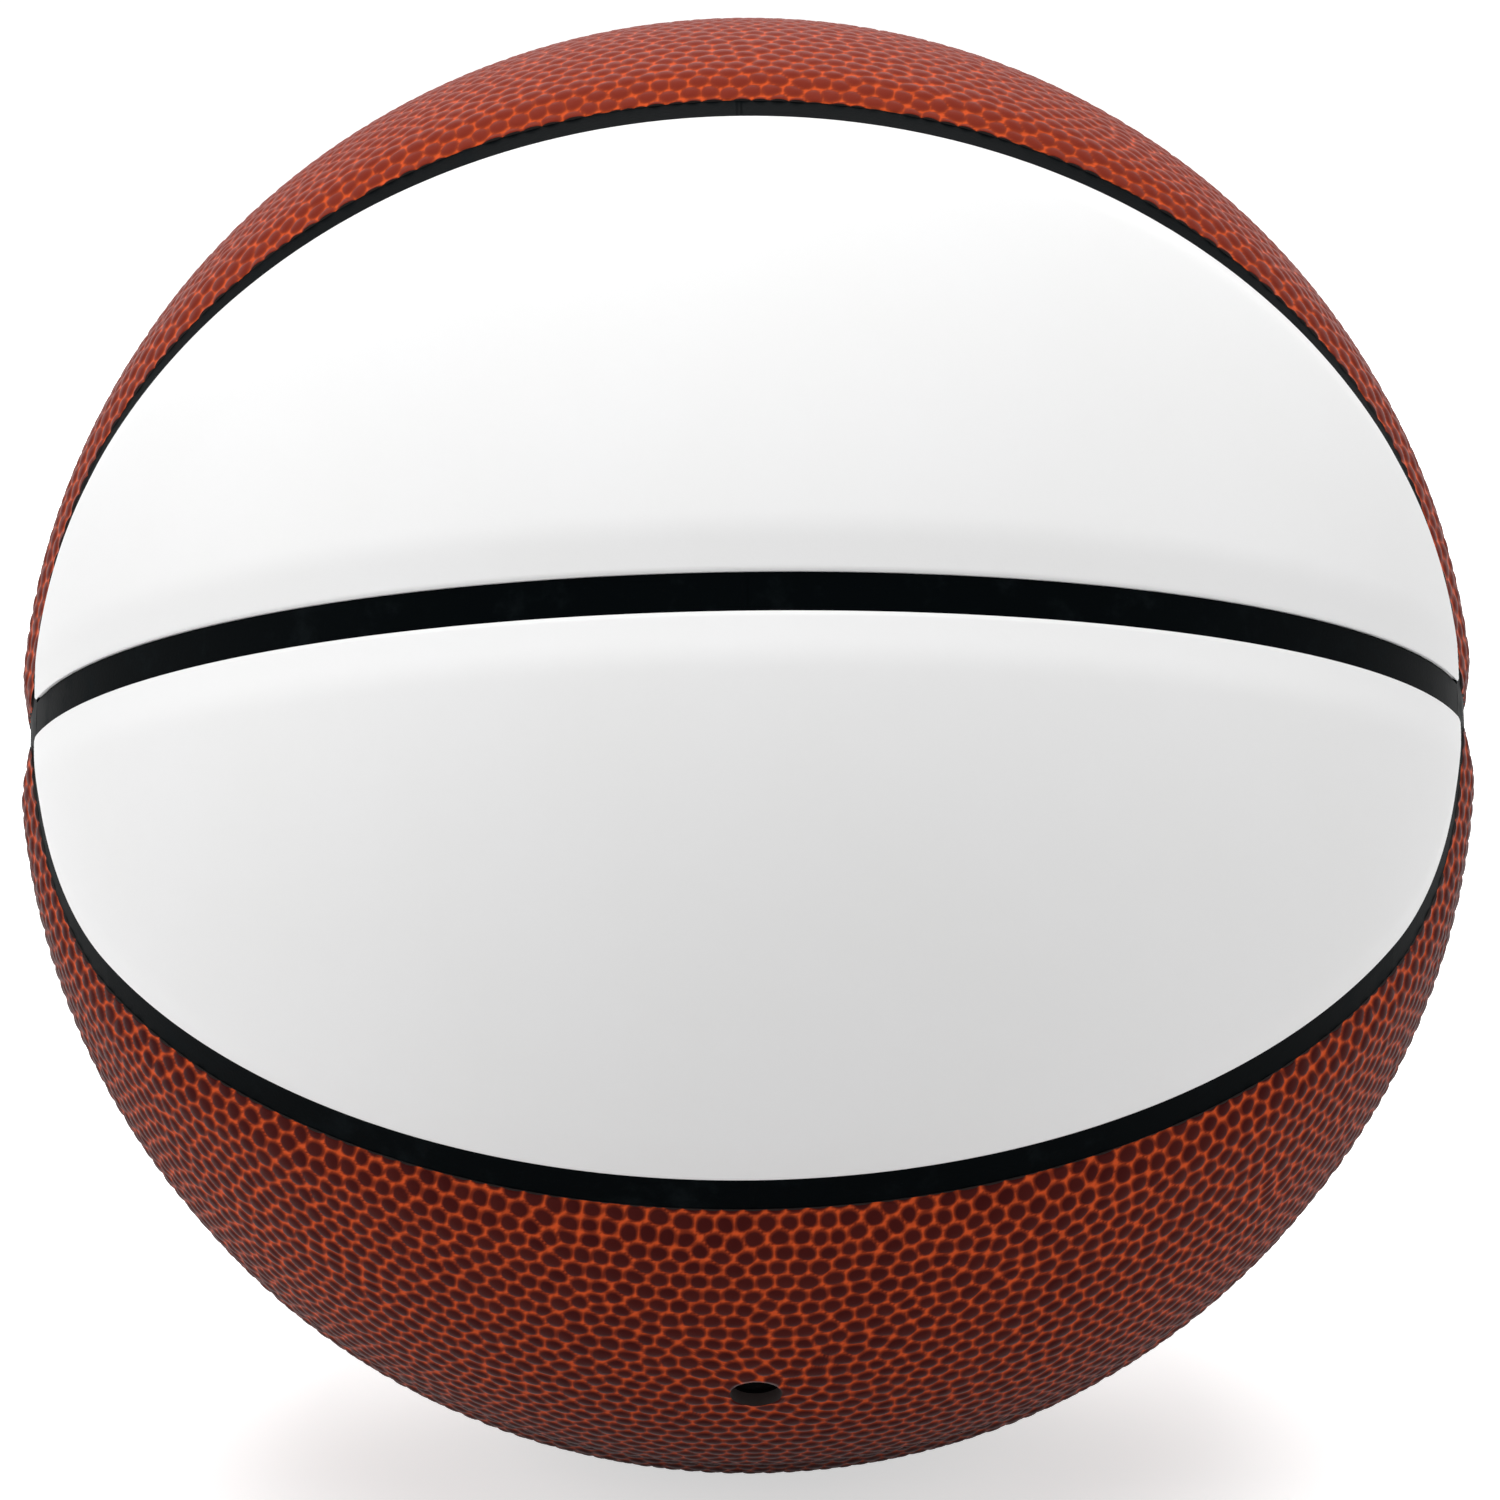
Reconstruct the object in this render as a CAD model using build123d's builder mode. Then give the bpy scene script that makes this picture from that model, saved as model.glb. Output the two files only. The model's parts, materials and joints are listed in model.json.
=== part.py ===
from build123d import *
import os
from collections import namedtuple
from math import acos, atan2, cos, degrees, radians, sin, sqrt, tan

# A laminated basketball, in millimetres and degrees. Eight glued cover panels lie on a rubber
# carcass, over a thread winding and an air bladder, with a flanged valve boot and a pressed-in plug.
# The origin is the ball's centre. X runs through the two points where the straight seams cross,
# and Z is up as the ball stands, with the centre of its front oval lifted above the horizontal.

# The ball and how it stands
BALL_DIAMETER = 178.0
STANDING_TILT = 20.0

# Seams. The oval's two angles are measured at the ball's centre, from the middle of the oval
OVAL_SIDE_ANGLE = 45.5
OVAL_END_ANGLE = 77.0
CHANNEL_WIDTH = 4.4
CHANNEL_DEPTH = 1.35

# Cover panels, whose edges are skived down to a thin lip beside the channel
PANEL_THICKNESS = 1.6
SHOULDER_WIDTH = 6.3
SHOULDER_RADIUS = 12.0
CROWN_BREAK_ANGLE = 1.5
BEVEL_ANGLE = 9.0
CORNER_RADIUS = 1.5

# Layers under the panels, with the thin glue line between one layer and the next
BOND_LINE = 0.05
RIB_CLEARANCE = 0.1
CARCASS_THICKNESS = 1.1
WINDING_THICKNESS = 0.6
BLADDER_THICKNESS = 0.7

# Valve hole in the panel
VALVE_HOLE_DIAMETER = 6.0

# Valve boot: a neck through the layers, a flange inside the bladder and a barrel for the plug
NECK_DIAMETER = 9.0
FLANGE_DIAMETER = 26.0
FLANGE_ROOT_THICKNESS = 1.2
FLANGE_RIM_THICKNESS = 0.5
BARREL_LENGTH = 11.0
BARREL_ROUNDING = 0.6

# Valve plug: a head, a waist, a collar that snaps into the boot, and a tapered tail
PLUG_SINK = 0.3
PLUG_FIT = 0.03
PLUG_HEAD_DIAMETER = 5.6
PLUG_HEAD_HEIGHT = 1.8
PLUG_WAIST_DIAMETER = 4.2
PLUG_WAIST_LENGTH = 4.4
PLUG_COLLAR_HEIGHT = 1.6
PLUG_TAIL_LENGTH = 3.4
PLUG_TAIL_TIP_DIAMETER = 3.0
NEEDLE_BORE_DIAMETER = 2.0
NEEDLE_BORE_DEPTH = 6.0
NEEDLE_MOUTH_DIAMETER = 3.2

# One overrun for every cut
OVERRUN = 2.0

# Radii of the layers, from the outside in
BALL_RADIUS = BALL_DIAMETER / 2
PANEL_SEAT_RADIUS = BALL_RADIUS - PANEL_THICKNESS
CARCASS_RADIUS = PANEL_SEAT_RADIUS - BOND_LINE
CARCASS_INNER_RADIUS = CARCASS_RADIUS - CARCASS_THICKNESS
WINDING_RADIUS = CARCASS_INNER_RADIUS - BOND_LINE
WINDING_INNER_RADIUS = WINDING_RADIUS - WINDING_THICKNESS
BLADDER_RADIUS = WINDING_INNER_RADIUS - BOND_LINE
BLADDER_INNER_RADIUS = BLADDER_RADIUS - BLADDER_THICKNESS
FLANGE_SEAT_RADIUS = BLADDER_INNER_RADIUS - BOND_LINE
RIB_TOP_RADIUS = BALL_RADIUS - CHANNEL_DEPTH

os.makedirs("parts", exist_ok=True)


def in_ball(x, y, z):
    """A direction in the seams' own axes, turned to how the ball stands."""
    return Vector(x, y, z).rotate(Axis.X, -STANDING_TILT)


CENTRE = (0, 0, 0)
BALL_X = Axis(CENTRE, in_ball(1, 0, 0))
BALL_Y = Axis(CENTRE, in_ball(0, 1, 0))
BALL_Z = Axis(CENTRE, in_ball(0, 0, 1))

# The seams repeat by half turns about the ball's three axes, and so do the panels
HALF_TURNS = {
    "front_upper": (BALL_X, 0),
    "front_lower": (BALL_Y, 180),
    "back_upper": (BALL_Z, 180),
    "back_lower": (BALL_X, 180),
}

# Every stretch of seam is a circle about an axis through the centre: a section that turns about it
Seam = namedtuple("Seam", "section axis turn")


def seam(start, across, pivot, turn, half_turn=(BALL_X, 0)):
    """A seam whose section starts at one direction and turns about a pivot, moved by a half turn."""
    start, across, pivot = (direction.rotate(*half_turn) for direction in (start, across, pivot))
    section = Plane(origin=CENTRE, x_dir=across, z_dir=across.cross(start))
    return Seam(section, Axis(CENTRE, pivot), turn)


# The oval's long sides are great circles through the points where the straight seams cross.
# Its ends are smaller circles, centred on the middle seam, that run on from the sides without a kink.
side = radians(OVAL_SIDE_ANGLE)
end = radians(OVAL_END_ANGLE)
end_centre = atan2(sin(end) - sin(side), cos(end))
end_radius = end - end_centre
side_half_turn = degrees(atan2(sin(end_centre), cos(end_centre) * cos(side)))
end_turn = 2 * degrees(acos(tan(end_radius) * tan(end_centre)))
side_middle = in_ball(0, -cos(side), sin(side))
side_across = in_ball(0, sin(side), cos(side))
side_start = side_middle.rotate(Axis(CENTRE, side_across), -side_half_turn)
side_stop = side_middle.rotate(Axis(CENTRE, side_across), side_half_turn)
end_pivot = in_ball(-sin(end_centre), cos(end_centre), 0)

# The two straight seams go all the way round, each from the point where they cross
crossing, front, back, up = in_ball(1, 0, 0), in_ball(0, -1, 0), in_ball(0, 1, 0), in_ball(0, 0, 1)
middle_seam = seam(crossing, up, up, 360)
cross_seam = seam(crossing, back, back, 360)
oval_sides = {}
oval_ends = {}
for place, half_turn in HALF_TURNS.items():
    oval_sides[place] = seam(side_start, side_across, side_across, 2 * side_half_turn, half_turn)
    oval_ends[place] = seam(side_stop, side_across, end_pivot, end_turn, half_turn)

# The front upper quarter of the cover meets these seams
quarter_oval = [oval_sides["front_upper"], oval_ends["front_upper"], oval_ends["front_lower"]]


def channel_profile(section):
    """The straight cut through the cover, from below its seat to above the ball."""
    with BuildSketch(section) as profile:
        with Locations((0, BALL_RADIUS)):
            Rectangle(CHANNEL_WIDTH, 2 * (PANEL_THICKNESS + OVERRUN))
    return profile.sketch


def shoulder_profile(section):
    """What skiving takes off beside a channel: a rounding off the crown, then a bevel past the lip."""
    crown_angle = degrees((CHANNEL_WIDTH / 2 + SHOULDER_WIDTH) / BALL_RADIUS)
    rounding_turn = crown_angle + BEVEL_ANGLE - CROWN_BREAK_ANGLE
    crown = Vector(0, BALL_RADIUS).rotate(Axis.Z, -crown_angle)
    inwards = Vector(-1, 0).rotate(Axis.Z, CROWN_BREAK_ANGLE - crown_angle)
    outside = crown - inwards * OVERRUN
    top = BALL_RADIUS + OVERRUN
    with BuildSketch(section) as profile:
        with BuildLine():
            Line(outside, crown)
            rounding = JernArc(crown, inwards, SHOULDER_RADIUS, rounding_turn)
            bevel = rounding @ 1
            bottom = (0, bevel.Y - bevel.X * tan(radians(BEVEL_ANGLE)))
            Polyline(bevel, bottom, (0, top), (outside.X, top), outside)
        make_face()
        mirror(about=Plane.YZ)
    return profile.sketch


def rib_profile(section):
    """The rib that stands on the carcass and fills the channel's floor."""
    base = CARCASS_RADIUS - CARCASS_THICKNESS / 2
    with BuildSketch(section) as profile:
        with Locations((0, (base + RIB_TOP_RADIUS) / 2)):
            Rectangle(CHANNEL_WIDTH - 2 * RIB_CLEARANCE, RIB_TOP_RADIUS - base)
    return profile.sketch


def half_ring_profile(outer_radius, inner_radius):
    """Half of a ring about the centre, which turns about the ball's X axis into a spherical layer."""
    with BuildSketch(LAYER_SECTION) as profile:
        with BuildLine():
            outer = CenterArc(CENTRE, outer_radius, 0, 180)
            inner = CenterArc(CENTRE, inner_radius, 0, 180)
            Line(outer @ 0, inner @ 0)
            Line(outer @ 1, inner @ 1)
        make_face()
    return profile.sketch


def plug_profile(clearance):
    """Half of the plug's outline, beside the valve's axis, with room for a clearance all round."""
    head = PLUG_HEAD_DIAMETER / 2 + clearance
    waist = PLUG_WAIST_DIAMETER / 2 + clearance
    tip = PLUG_TAIL_TIP_DIAMETER / 2 + clearance
    with BuildSketch(VALVE_SECTION) as profile:
        with BuildLine():
            Polyline(
                (0, PLUG_TOP + clearance),
                (head, PLUG_TOP + clearance),
                (head, PLUG_HEAD_BOTTOM - clearance),
                (waist, PLUG_HEAD_BOTTOM - clearance),
                (waist, PLUG_WAIST_BOTTOM + clearance),
                (head, PLUG_WAIST_BOTTOM + clearance),
                (head, PLUG_COLLAR_BOTTOM - clearance),
                (waist, PLUG_COLLAR_BOTTOM - clearance),
                (tip, PLUG_TAIL_BOTTOM - clearance),
                (0, PLUG_TAIL_BOTTOM - clearance),
                close=True,
            )
        make_face()
    return profile.sketch


def panel_corners(panel):
    """The short upright edges where a panel's walls meet beside the middle seam."""
    return panel.edges().filter_by(
        lambda edge: edge.length < 2 * PANEL_THICKNESS and abs(edge.center().dot(up)) < CHANNEL_WIDTH
    )


# Half plane through the middle seam, in which a layer starts its turn
LAYER_SECTION = Plane(origin=CENTRE, x_dir=BALL_X.direction, z_dir=BALL_X.direction.cross(front))
LAYER_TURN = Axis(CENTRE, in_ball(-1, 0, 0))

# The valve points out through the middle of the front lower strip
VALVE_PLACE = "front_lower"
valve_angle = radians((OVAL_SIDE_ANGLE + 90) / 2)
valve_out = in_ball(0, -cos(valve_angle), -sin(valve_angle))
VALVE_PLANE = Plane(origin=CENTRE, x_dir=BALL_X.direction, z_dir=valve_out)
VALVE_SECTION = Plane(origin=CENTRE, x_dir=BALL_X.direction, z_dir=BALL_X.direction.cross(valve_out))
VALVE_AXIS = Axis(CENTRE, valve_out)

# Levels of the boot and the plug along the valve's axis, from the ball's centre
NECK_TOP = sqrt(CARCASS_RADIUS**2 - (NECK_DIAMETER / 2) ** 2)
BARREL_BOTTOM = FLANGE_SEAT_RADIUS - BARREL_LENGTH
PLUG_TOP = NECK_TOP - PLUG_SINK
PLUG_HEAD_BOTTOM = PLUG_TOP - PLUG_HEAD_HEIGHT
PLUG_WAIST_BOTTOM = PLUG_HEAD_BOTTOM - PLUG_WAIST_LENGTH
PLUG_COLLAR_BOTTOM = PLUG_WAIST_BOTTOM - PLUG_COLLAR_HEIGHT
PLUG_TAIL_BOTTOM = PLUG_COLLAR_BOTTOM - PLUG_TAIL_LENGTH

# Cover: a quarter of the spherical layer, parted by its channels into one oval half and one strip
with BuildPart() as cover_quarter:
    revolve(half_ring_profile(BALL_RADIUS, PANEL_SEAT_RADIUS), LAYER_TURN, 90)
    for run in [middle_seam, cross_seam, *quarter_oval]:
        revolve(channel_profile(run.section), run.axis, run.turn, mode=Mode.SUBTRACT)
oval_blank, strip_blank = cover_quarter.solids().sort_by(BALL_Y)

# Oval half: rounded at its two tips, then skived along the middle seam and the oval
with BuildPart() as oval_half:
    add(oval_blank)
    fillet(panel_corners(oval_half), CORNER_RADIUS)
    for run in [middle_seam, *quarter_oval]:
        revolve(shoulder_profile(run.section), run.axis, run.turn, mode=Mode.SUBTRACT)

# Strip: rounded at its four corners, then skived along all the seams that bound it
with BuildPart() as strip:
    add(strip_blank)
    fillet(panel_corners(strip), CORNER_RADIUS)
    for run in [middle_seam, cross_seam, *quarter_oval]:
        revolve(shoulder_profile(run.section), run.axis, run.turn, mode=Mode.SUBTRACT)

# Each of the two panel shapes is glued on four times, by half turns
for place, half_turn in HALF_TURNS.items():
    with BuildPart() as oval_panel:
        add(oval_half.part.rotate(*half_turn))
    oval_panel.part.label = f"oval_panel_{place}"
    export_step(oval_panel.part, f"parts/oval_panel_{place}.step")

    with BuildPart() as strip_panel:
        add(strip.part.rotate(*half_turn))
        if place == VALVE_PLACE:
            with BuildSketch(VALVE_PLANE):
                Circle(VALVE_HOLE_DIAMETER / 2)
            extrude(amount=BALL_RADIUS + OVERRUN, mode=Mode.SUBTRACT)
    strip_panel.part.label = f"strip_panel_{place}"
    export_step(strip_panel.part, f"parts/strip_panel_{place}.step")

# Carcass: a moulded rubber shell with a raised rib along every seam, open for the valve's neck
with BuildPart() as carcass:
    revolve(half_ring_profile(CARCASS_RADIUS, CARCASS_INNER_RADIUS), LAYER_TURN, 360)
    for run in [middle_seam, cross_seam, *oval_sides.values(), *oval_ends.values()]:
        revolve(rib_profile(run.section), run.axis, run.turn)
    with BuildSketch(VALVE_PLANE):
        Circle(NECK_DIAMETER / 2 + BOND_LINE)
    extrude(amount=BALL_RADIUS + OVERRUN, mode=Mode.SUBTRACT)
carcass.part.label = "carcass"
export_step(carcass.part, "parts/carcass.step")

# Winding: thread laid round the bladder in every direction, a closed layer but for the neck
with BuildPart() as winding:
    revolve(half_ring_profile(WINDING_RADIUS, WINDING_INNER_RADIUS), LAYER_TURN, 360)
    with BuildSketch(VALVE_PLANE):
        Circle(NECK_DIAMETER / 2 + BOND_LINE)
    extrude(amount=BALL_RADIUS + OVERRUN, mode=Mode.SUBTRACT)
winding.part.label = "winding"
export_step(winding.part, "parts/winding.step")

# Bladder: the butyl balloon that holds the air
with BuildPart() as bladder:
    revolve(half_ring_profile(BLADDER_RADIUS, BLADDER_INNER_RADIUS), LAYER_TURN, 360)
    with BuildSketch(VALVE_PLANE):
        Circle(NECK_DIAMETER / 2 + BOND_LINE)
    extrude(amount=BALL_RADIUS + OVERRUN, mode=Mode.SUBTRACT)
bladder.part.label = "bladder"
export_step(bladder.part, "parts/bladder.step")

# Valve boot: its flange is bonded to the inside of the bladder, its neck reaches the carcass's outside
neck = NECK_DIAMETER / 2
flange = FLANGE_DIAMETER / 2
flange_root = sqrt(FLANGE_SEAT_RADIUS**2 - neck**2)
flange_rim = sqrt(FLANGE_SEAT_RADIUS**2 - flange**2)
tail_bore = PLUG_WAIST_DIAMETER / 2 + PLUG_FIT
with BuildPart() as valve_boot:
    with BuildSketch(VALVE_SECTION):
        with BuildLine():
            Polyline((0, BARREL_BOTTOM), (0, NECK_TOP), (neck, NECK_TOP), (neck, flange_root))
            RadiusArc((neck, flange_root), (flange, flange_rim), FLANGE_SEAT_RADIUS)
            Polyline(
                (flange, flange_rim),
                (flange, flange_rim - FLANGE_RIM_THICKNESS),
                (neck, flange_root - FLANGE_ROOT_THICKNESS),
                (neck, BARREL_BOTTOM),
                (0, BARREL_BOTTOM),
            )
        make_face()
    revolve(axis=VALVE_AXIS)
    fillet(valve_boot.edges().filter_by(GeomType.CIRCLE).sort_by(VALVE_AXIS)[0], BARREL_ROUNDING)
    revolve(plug_profile(PLUG_FIT), VALVE_AXIS, mode=Mode.SUBTRACT)
    with BuildSketch(VALVE_PLANE.offset(PLUG_TOP)):
        Circle(PLUG_HEAD_DIAMETER / 2 + PLUG_FIT)
    extrude(amount=PLUG_SINK + OVERRUN, mode=Mode.SUBTRACT)
    with BuildSketch(VALVE_PLANE.offset(PLUG_COLLAR_BOTTOM)):
        Circle(tail_bore)
    extrude(amount=BARREL_BOTTOM - PLUG_COLLAR_BOTTOM - OVERRUN, mode=Mode.SUBTRACT)
valve_boot.part.label = "valve_boot"
export_step(valve_boot.part, "parts/valve_boot.step")

# Valve plug: pressed into the boot from outside, with a flared guide hole for the inflating needle
with BuildPart() as valve_plug:
    revolve(plug_profile(0), VALVE_AXIS)
    with BuildSketch(VALVE_PLANE.offset(PLUG_TOP)):
        Circle(NEEDLE_BORE_DIAMETER / 2)
    extrude(amount=-NEEDLE_BORE_DEPTH, mode=Mode.SUBTRACT)
    top_circles = valve_plug.edges().filter_by(GeomType.CIRCLE).group_by(VALVE_AXIS)[-1]
    mouth = top_circles.sort_by(SortBy.RADIUS)[0]
    chamfer(mouth, (NEEDLE_MOUTH_DIAMETER - NEEDLE_BORE_DIAMETER) / 2)
valve_plug.part.label = "valve_plug"
export_step(valve_plug.part, "parts/valve_plug.step")
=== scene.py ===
import json
from math import acos, atan2, cos, radians, sin, sqrt, tan

import bpy
import numpy as np
from mathutils import Matrix, Vector


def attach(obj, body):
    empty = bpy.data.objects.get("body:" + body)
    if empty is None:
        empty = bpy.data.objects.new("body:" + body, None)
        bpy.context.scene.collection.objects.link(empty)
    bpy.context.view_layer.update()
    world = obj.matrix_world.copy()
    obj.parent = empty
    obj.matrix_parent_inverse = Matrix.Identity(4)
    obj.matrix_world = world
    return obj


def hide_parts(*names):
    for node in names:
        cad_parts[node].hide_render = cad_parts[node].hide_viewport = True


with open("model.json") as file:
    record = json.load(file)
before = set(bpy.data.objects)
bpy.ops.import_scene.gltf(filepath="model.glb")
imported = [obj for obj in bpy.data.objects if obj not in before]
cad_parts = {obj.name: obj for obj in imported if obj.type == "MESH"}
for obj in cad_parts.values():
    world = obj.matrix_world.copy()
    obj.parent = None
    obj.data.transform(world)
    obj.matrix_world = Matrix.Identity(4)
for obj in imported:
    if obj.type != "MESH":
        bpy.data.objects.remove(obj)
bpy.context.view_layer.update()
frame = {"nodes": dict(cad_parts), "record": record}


# Bladder: the butyl balloon that holds the air, moulded in one piece with a hole for the valve.
# Its rubber is dull black, clouded by the talc that kept it from sticking in the mould.
class Tone:
    """One output of a material's nodes. Sums, differences and products of tones add Math nodes."""

    def __init__(self, tree, socket=None):
        self.tree = tree
        self.socket = socket

    def node(self, kind, settings=None, inputs=None, output=0):
        """Adds a node of this kind: its settings are set first, then its sockets get values or links."""
        made = self.tree.nodes.new("ShaderNode" + kind)
        for name, value in (settings or {}).items():
            setattr(made, name, value)
        for name, value in (inputs or {}).items():
            if isinstance(value, Tone):
                self.tree.links.new(value.socket, made.inputs[name])
            else:
                made.inputs[name].default_value = value
        return Tone(self.tree, made.outputs[output] if made.outputs else None)

    def math(self, operation, first, second):
        """What a Math node makes of two tones or numbers."""
        return self.node("Math", {"operation": operation}, {0: first, 1: second})

    def __add__(self, other):
        return self.math("ADD", self, other)

    def __radd__(self, other):
        return self.math("ADD", other, self)

    def __sub__(self, other):
        return self.math("SUBTRACT", self, other)

    def __rsub__(self, other):
        return self.math("SUBTRACT", other, self)

    def __mul__(self, other):
        return self.math("MULTIPLY", self, other)

    def __rmul__(self, other):
        return self.math("MULTIPLY", other, self)

    def step(self, low, high):
        """0 below low, 1 above high, and a smooth rise between them."""
        ends = {"Value": self, "From Min": low, "From Max": high}
        return self.node("MapRange", {"interpolation_type": "SMOOTHSTEP"}, ends)

    def between(self, first, second):
        """The colour that lies this far from the first to the second."""
        ends = {"Factor": self, 6: first, 7: second}
        return self.node("Mix", {"data_type": "RGBA"}, ends, output=2)

    def noise(self, size, detail=2.0, roughness=0.5):
        """Soft noise on the object's own coordinates, with features of about this size in metres."""
        place = self.node("TexCoord", output=3)
        inputs = {"Vector": place, "Scale": 1 / size, "Detail": detail, "Roughness": roughness}
        return self.node("TexNoise", {}, inputs)

    def relief(self, height, depth):
        """A bent normal where the surface rises by this height, a tone from 0 to 1, times a depth."""
        return self.node("Bump", {}, {"Height": height, "Distance": depth})


def start_finish(name):
    """An empty material, and a tone that adds nodes to it."""
    material = bpy.data.materials.new(name)
    material.use_nodes = True
    material.node_tree.nodes.clear()
    return material, Tone(material.node_tree)


def end_finish(tone, **sockets):
    """Closes a material with one Principled shader, whose sockets get these values or links."""
    inputs = {name.replace("_", " "): value for name, value in sockets.items()}
    shader = tone.node("BsdfPrincipled", {}, inputs)
    tone.node("OutputMaterial", {}, {"Surface": shader})


def dress(node, material):
    """Gives a carried-over solid its finish."""
    for slot in frame["nodes"][node].material_slots:
        slot.material = material


BUTYL_BLACK = (0.012, 0.012, 0.013, 1)
TALC_GREY = (0.055, 0.054, 0.052, 1)
TALC_CLOUD_SIZE = 0.012
TALC_CLOUD_LEVELS = (0.42, 0.75)
butyl, tone = start_finish("butyl_with_talc")
cloud = tone.noise(TALC_CLOUD_SIZE, detail=4).step(*TALC_CLOUD_LEVELS)
end_finish(tone, Base_Color=cloud.between(BUTYL_BLACK, TALC_GREY), Roughness=0.55 + 0.3 * cloud)
dress("bladder", butyl)


# Winding: nylon thread laid round the bladder in every direction, one layer over another.
# It keeps the ball round and stops the bladder from growing under pressure.
THREAD_WHITE = (0.72, 0.70, 0.64, 1)
THREAD_SHADE = (0.40, 0.38, 0.33, 1)
THREAD_PITCH = 0.0007
THREAD_DEPTH = 0.0002
THREAD_WANDER = 1.5
THREAD_TURNS = ((0.3, 0.8, 0.1), (1.4, 0.2, 0.9), (0.7, 1.1, 2.0))

# At scale 1 a wave texture repeats about so many times in a metre
WAVES_PER_METRE = 3
thread, tone = start_finish("wound_thread")
lays = []
for turn in THREAD_TURNS:
    place = tone.node("TexCoord", output=3)
    laid = tone.node("Mapping", {}, {"Vector": place, "Rotation": turn})
    scale = 1 / (WAVES_PER_METRE * THREAD_PITCH)
    wave = {"Vector": laid, "Scale": scale, "Distortion": THREAD_WANDER, "Detail": 1.0}
    lays.append(tone.node("TexWave", {}, wave, output=1))
strand = sum(lays[1:], lays[0]) * (1 / len(lays))
end_finish(
    tone,
    Base_Color=strand.between(THREAD_SHADE, THREAD_WHITE),
    Roughness=0.85 - 0.2 * strand,
    Normal=tone.relief(strand, THREAD_DEPTH),
)
dress("winding", thread)


# Valve boot and plug: a flanged rubber housing bonded through the layers, and the soft plug pressed
# into it, which closes round the needle. Both are moulded in black rubber with a fine grain.
VALVE_BLACK = (0.002, 0.002, 0.002, 1)
VALVE_WORN = (0.006, 0.006, 0.006, 1)
VALVE_GRAIN_SIZE = 0.0005
VALVE_GRAIN_DEPTH = 0.00003
VALVE_WEAR_LEVELS = (0.45, 0.8)
valve_rubber, tone = start_finish("valve_rubber")
grain = tone.noise(VALVE_GRAIN_SIZE, detail=3)
end_finish(
    tone,
    Base_Color=grain.step(*VALVE_WEAR_LEVELS).between(VALVE_BLACK, VALVE_WORN),
    Roughness=0.5 + 0.25 * grain,
    Specular_IOR_Level=0.01,
    Normal=tone.relief(grain, VALVE_GRAIN_DEPTH),
)
dress("valve_boot", valve_rubber)
dress("valve_plug", valve_rubber)


# Carcass: the moulded rubber shell that carries the cover. Only its ribs show, as the floors of the
# channels: satin black, with a fine grain, dull scuffs and the thin line where the mould parted.
RUBBER_BLACK = (0.0008, 0.0016, 0.0020, 1)
RUBBER_SCUFF = (0.005, 0.007, 0.008, 1)
RUBBER_GRAIN_SIZE = 0.0004
SCUFF_SIZE = 0.006
SCUFF_LEVELS = (0.5, 0.8)
MOULD_LINE_WIDTH = 0.0005
MOULD_LINE_HEIGHT = 0.0002
GRAIN_SHARE_OF_LINE = 0.1
rubber, tone = start_finish("channel_rubber")
grain = tone.noise(RUBBER_GRAIN_SIZE, detail=2)
scuff = tone.noise(SCUFF_SIZE, detail=5, roughness=0.65).step(*SCUFF_LEVELS)
place = tone.node("TexCoord", output=3)
across = tone.node("SeparateXYZ", {}, {"Vector": place})
mould_line = 1 - tone.node("Math", {"operation": "ABSOLUTE"}, {0: across}).step(0, MOULD_LINE_WIDTH)
end_finish(
    tone,
    Base_Color=scuff.between(RUBBER_BLACK, RUBBER_SCUFF),
    Roughness=0.5 + 0.2 * scuff,
    Specular_IOR_Level=0.01,
    Normal=tone.relief(GRAIN_SHARE_OF_LINE * grain + mould_line, MOULD_LINE_HEIGHT),
)
dress("carcass", rubber)


# White panels: the two halves of the front oval, cut from smooth coated leather and glued down.
# Each is skived along its edges, so that it dips to a thin lip beside the black channels.
mounts = {mount["name"]: mount for mount in frame["record"]["mounts"]}
BALL_RADIUS = -mounts["ring_rest"]["pos_m"][2]
STANDING_TILT = radians(20)
OVAL_SIDE = radians(45.5)
OVAL_END = radians(77)
CHANNEL_WIDTH = 0.0044
PANEL_THICKNESS = 0.0016
SHOULDER_WIDTH = 0.0063
SHOULDER_RADIUS = 0.012
CROWN_BREAK = radians(1.5)
BEVEL = radians(9)
CORNER_RADIUS = 0.0015

# The ball's own axes have the middle seam level and the front oval's middle at -Y. A panel is worked
# out as the front upper one, and half turns about those axes bring it to its place.
HALF_TURNS = {
    "front_upper": (1, 1, 1),
    "front_lower": (-1, 1, -1),
    "back_upper": (-1, -1, 1),
    "back_lower": (1, -1, -1),
}

# The oval: long sides on great circles, and ends on smaller circles about a centre on the middle seam
END_CENTRE = atan2(sin(OVAL_END) - sin(OVAL_SIDE), cos(OVAL_END))
END_RADIUS = OVAL_END - END_CENTRE
SIDE_POLE = np.array([0, sin(OVAL_SIDE), cos(OVAL_SIDE)])
END_POLE = np.array([sin(END_CENTRE), -cos(END_CENTRE), 0])
MIDDLE_POLE = np.array([0, 0, 1.0])
CROSS_POLE = np.array([0, -1.0, 0])
HANDOVER = np.cross(SIDE_POLE, END_POLE)

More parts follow.
